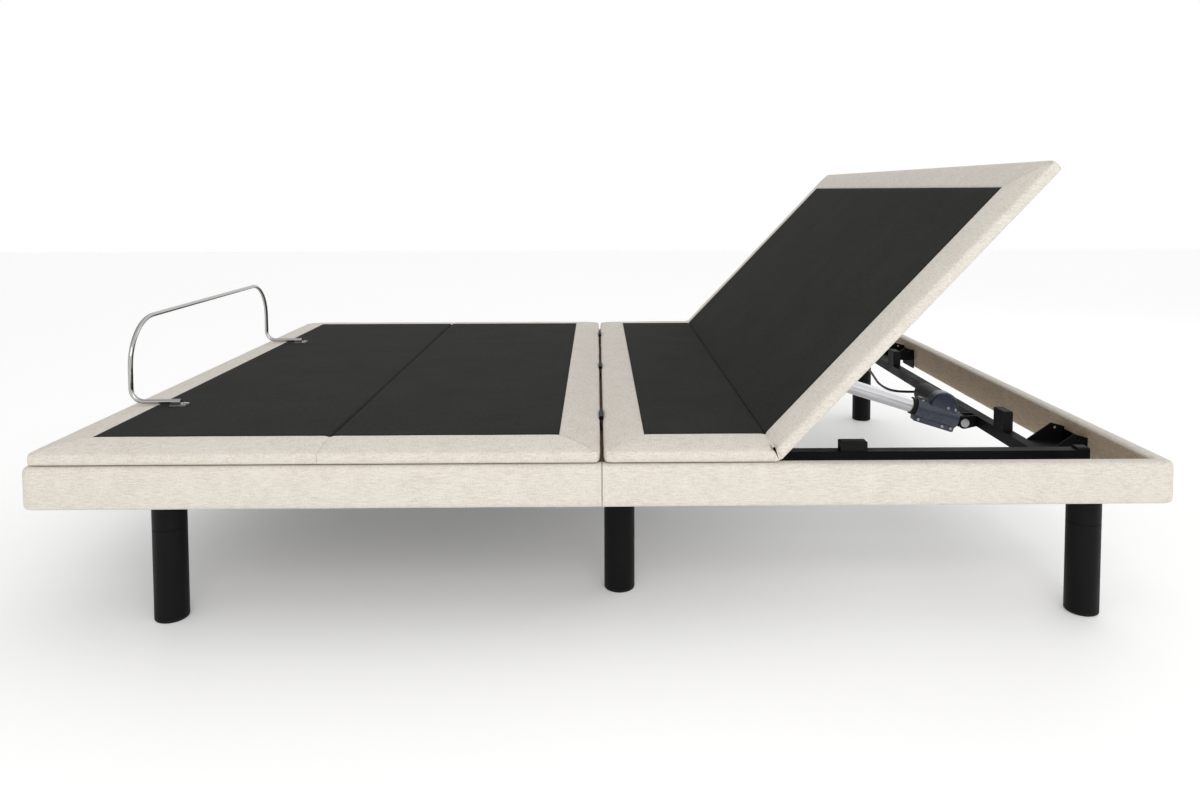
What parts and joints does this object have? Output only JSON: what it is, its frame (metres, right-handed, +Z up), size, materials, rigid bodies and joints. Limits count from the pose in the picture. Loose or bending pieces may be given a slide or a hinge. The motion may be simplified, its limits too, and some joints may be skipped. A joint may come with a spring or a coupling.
{
  "type": "adjustable bed base",
  "caption": "Low upholstered adjustable bed base with a motor-raised head and leg section, round legs and a wire mattress retainer.",
  "frame": {"origin": "on the floor, below the middle of the base", "axes": "+X towards the head end, +Y towards the sleeper's left, +Z up"},
  "size_m": [2.032, 1.524, 0.8387],
  "materials": {
    "black_plastic": "fine texture",
    "black_steel": "satin powder coat",
    "board": "bare board",
    "chrome_bar": "polished",
    "dust_cover": "thin black cloth",
    "grey_casting": "satin blue-grey",
    "linen": "woven linen cloth",
    "non_slip_fabric": "matt non-slip cloth",
    "nylon": "smooth",
    "plywood": "bare plywood",
    "rubber": "matt",
    "silver_tube": "satin anodised",
    "zinc_steel": "zinc plated"
  },
  "bodies": {
    "base": {"legs_foot": "black_steel", "legs_centre": "black_steel", "legs_head": "black_steel", "leg_foot_pads": "rubber", "head_rail_boards": "board", "head_rail_upholstery": "linen", "foot_rail_boards": "board", "foot_rail_upholstery": "linen", "head_frame_tubes": "black_steel", "foot_frame_tubes": "black_steel", "head_end_brackets": "black_steel", "foot_end_brackets": "black_steel", "rest_blocks": "rubber", "frame_bolts": "zinc_steel", "centre_boards": "board", "rail_clips": "black_steel", "seat_panel_mat": "non_slip_fabric", "seat_panel_board": "plywood", "seat_panel_lining": "dust_cover", "seat_panel_cover": "linen", "seat_hinge_leaves": "black_steel", "frame_hangers": "black_steel", "control_box": "black_plastic", "head_motor_cable": "black_plastic", "foot_motor_cable": "black_plastic"},
    "head_panel": {"head_panel_mat": "non_slip_fabric", "head_panel_board": "plywood", "head_panel_lining": "dust_cover", "head_panel_cover": "linen", "head_panel_battens": "black_steel", "head_hinge_leaves": "black_steel"},
    "thigh_panel": {"thigh_panel_mat": "non_slip_fabric", "thigh_panel_board": "plywood", "thigh_panel_lining": "dust_cover", "thigh_panel_cover": "linen", "thigh_panel_battens": "black_steel", "thigh_hinge_leaves": "black_steel"},
    "foot_panel": {"foot_panel_mat": "non_slip_fabric", "foot_panel_board": "plywood", "foot_panel_lining": "dust_cover", "foot_panel_cover": "linen", "foot_panel_battens": "black_steel", "foot_hinge_leaves": "black_steel", "calf_panel_tabs": "black_steel", "mattress_retainer_bar": "chrome_bar", "retainer_tabs": "zinc_steel"},
    "head_lift": {"head_lift_frame": "black_steel"},
    "head_rollers": {"head_lift_rollers": "nylon"},
    "foot_lift": {"foot_lift_frame": "black_steel"},
    "foot_rollers": {"foot_lift_rollers": "nylon"},
    "head_motor": {"head_motor_gear_case": "grey_casting", "head_motor_can": "black_plastic", "head_motor_outer_tube": "silver_tube"},
    "head_rod": {"head_motor_rod": "silver_tube"},
    "foot_motor": {"foot_motor_gear_case": "grey_casting", "foot_motor_can": "black_plastic", "foot_motor_outer_tube": "silver_tube"},
    "foot_rod": {"foot_motor_rod": "silver_tube"},
    "calf_link_pair": {"calf_links": "black_steel"}
  },
  "joints": [
    {"name": "head_raise", "type": "hinge", "parent": "base", "child": "head_panel", "pos_m": [0.305, 0, 0.328], "axis": [0, -1, 0], "range_deg": [-46.5, 8.5]},
    {"name": "head_lift_turn", "type": "hinge", "parent": "base", "child": "head_lift", "pos_m": [0.09, 0, 0.198], "axis": [0, -1, 0], "range_deg": [-16.6, 3.1]},
    {"name": "head_rollers_spin", "type": "hinge", "parent": "head_lift", "child": "head_rollers", "pos_m": [0.42146, 0, 0.38383], "axis": [0, 1, 0], "continuous": true},
    {"name": "head_motor_swing", "type": "hinge", "parent": "base", "child": "head_motor", "pos_m": [0.855, -0.231, 0.238], "axis": [0, 1, 0], "range_deg": [-11.5, 2.15], "deforming": ["head_motor_cable"]},
    {"name": "head_rod_slide", "type": "slide", "parent": "head_motor", "child": "head_rod", "axis": [-0.9537, 0, 0.3007], "range_m": [-0.0602, 0.0111]},
    {"name": "leg_raise", "type": "hinge", "parent": "base", "child": "thigh_panel", "pos_m": [0, 0, 0.328], "axis": [0, 1, 0], "range_deg": [0, 35]},
    {"name": "knee_bend", "type": "hinge", "parent": "thigh_panel", "child": "foot_panel", "pos_m": [-0.5, 0, 0.3015], "axis": [0, 1, 0], "range_deg": [-35.1, 0]},
    {"name": "calf_link_swing", "type": "hinge", "parent": "base", "child": "calf_link_pair", "pos_m": [-0.135, 0, 0.288], "axis": [0, 1, 0], "range_deg": [0, 35.1]},
    {"name": "foot_lift_turn", "type": "hinge", "parent": "base", "child": "foot_lift", "pos_m": [-0.15, 0, 0.198], "axis": [0, 1, 0], "range_deg": [0, 48.1]},
    {"name": "foot_rollers_spin", "type": "hinge", "parent": "foot_lift", "child": "foot_rollers", "pos_m": [-0.438, 0, 0.282], "axis": [0, 1, 0], "continuous": true},
    {"name": "foot_motor_swing", "type": "hinge", "parent": "base", "child": "foot_motor", "pos_m": [-0.745, 0.2, 0.185], "axis": [0, 1, 0], "range_deg": [0, 1.5], "deforming": ["foot_motor_cable"]},
    {"name": "foot_rod_slide", "type": "slide", "parent": "foot_motor", "child": "foot_rod", "axis": [0.9879, 0, 0.1553], "range_m": [0, 0.0632]}
  ],
  "couplings": [
    {"joint": "head_lift_turn", "follows": "head_raise", "ratio": 0.355},
    {"joint": "head_motor_swing", "follows": "head_raise", "ratio": 0.24582},
    {"joint": "head_rod_slide", "follows": "head_raise", "m_per_rad": 0.07398},
    {"joint": "knee_bend", "follows": "leg_raise", "ratio": -1},
    {"joint": "calf_link_swing", "follows": "leg_raise", "ratio": 1},
    {"joint": "foot_lift_turn", "follows": "leg_raise", "ratio": 1.37},
    {"joint": "foot_motor_swing", "follows": "leg_raise", "ratio": 0.04},
    {"joint": "foot_rod_slide", "follows": "leg_raise", "m_per_rad": 0.103}
  ]
}
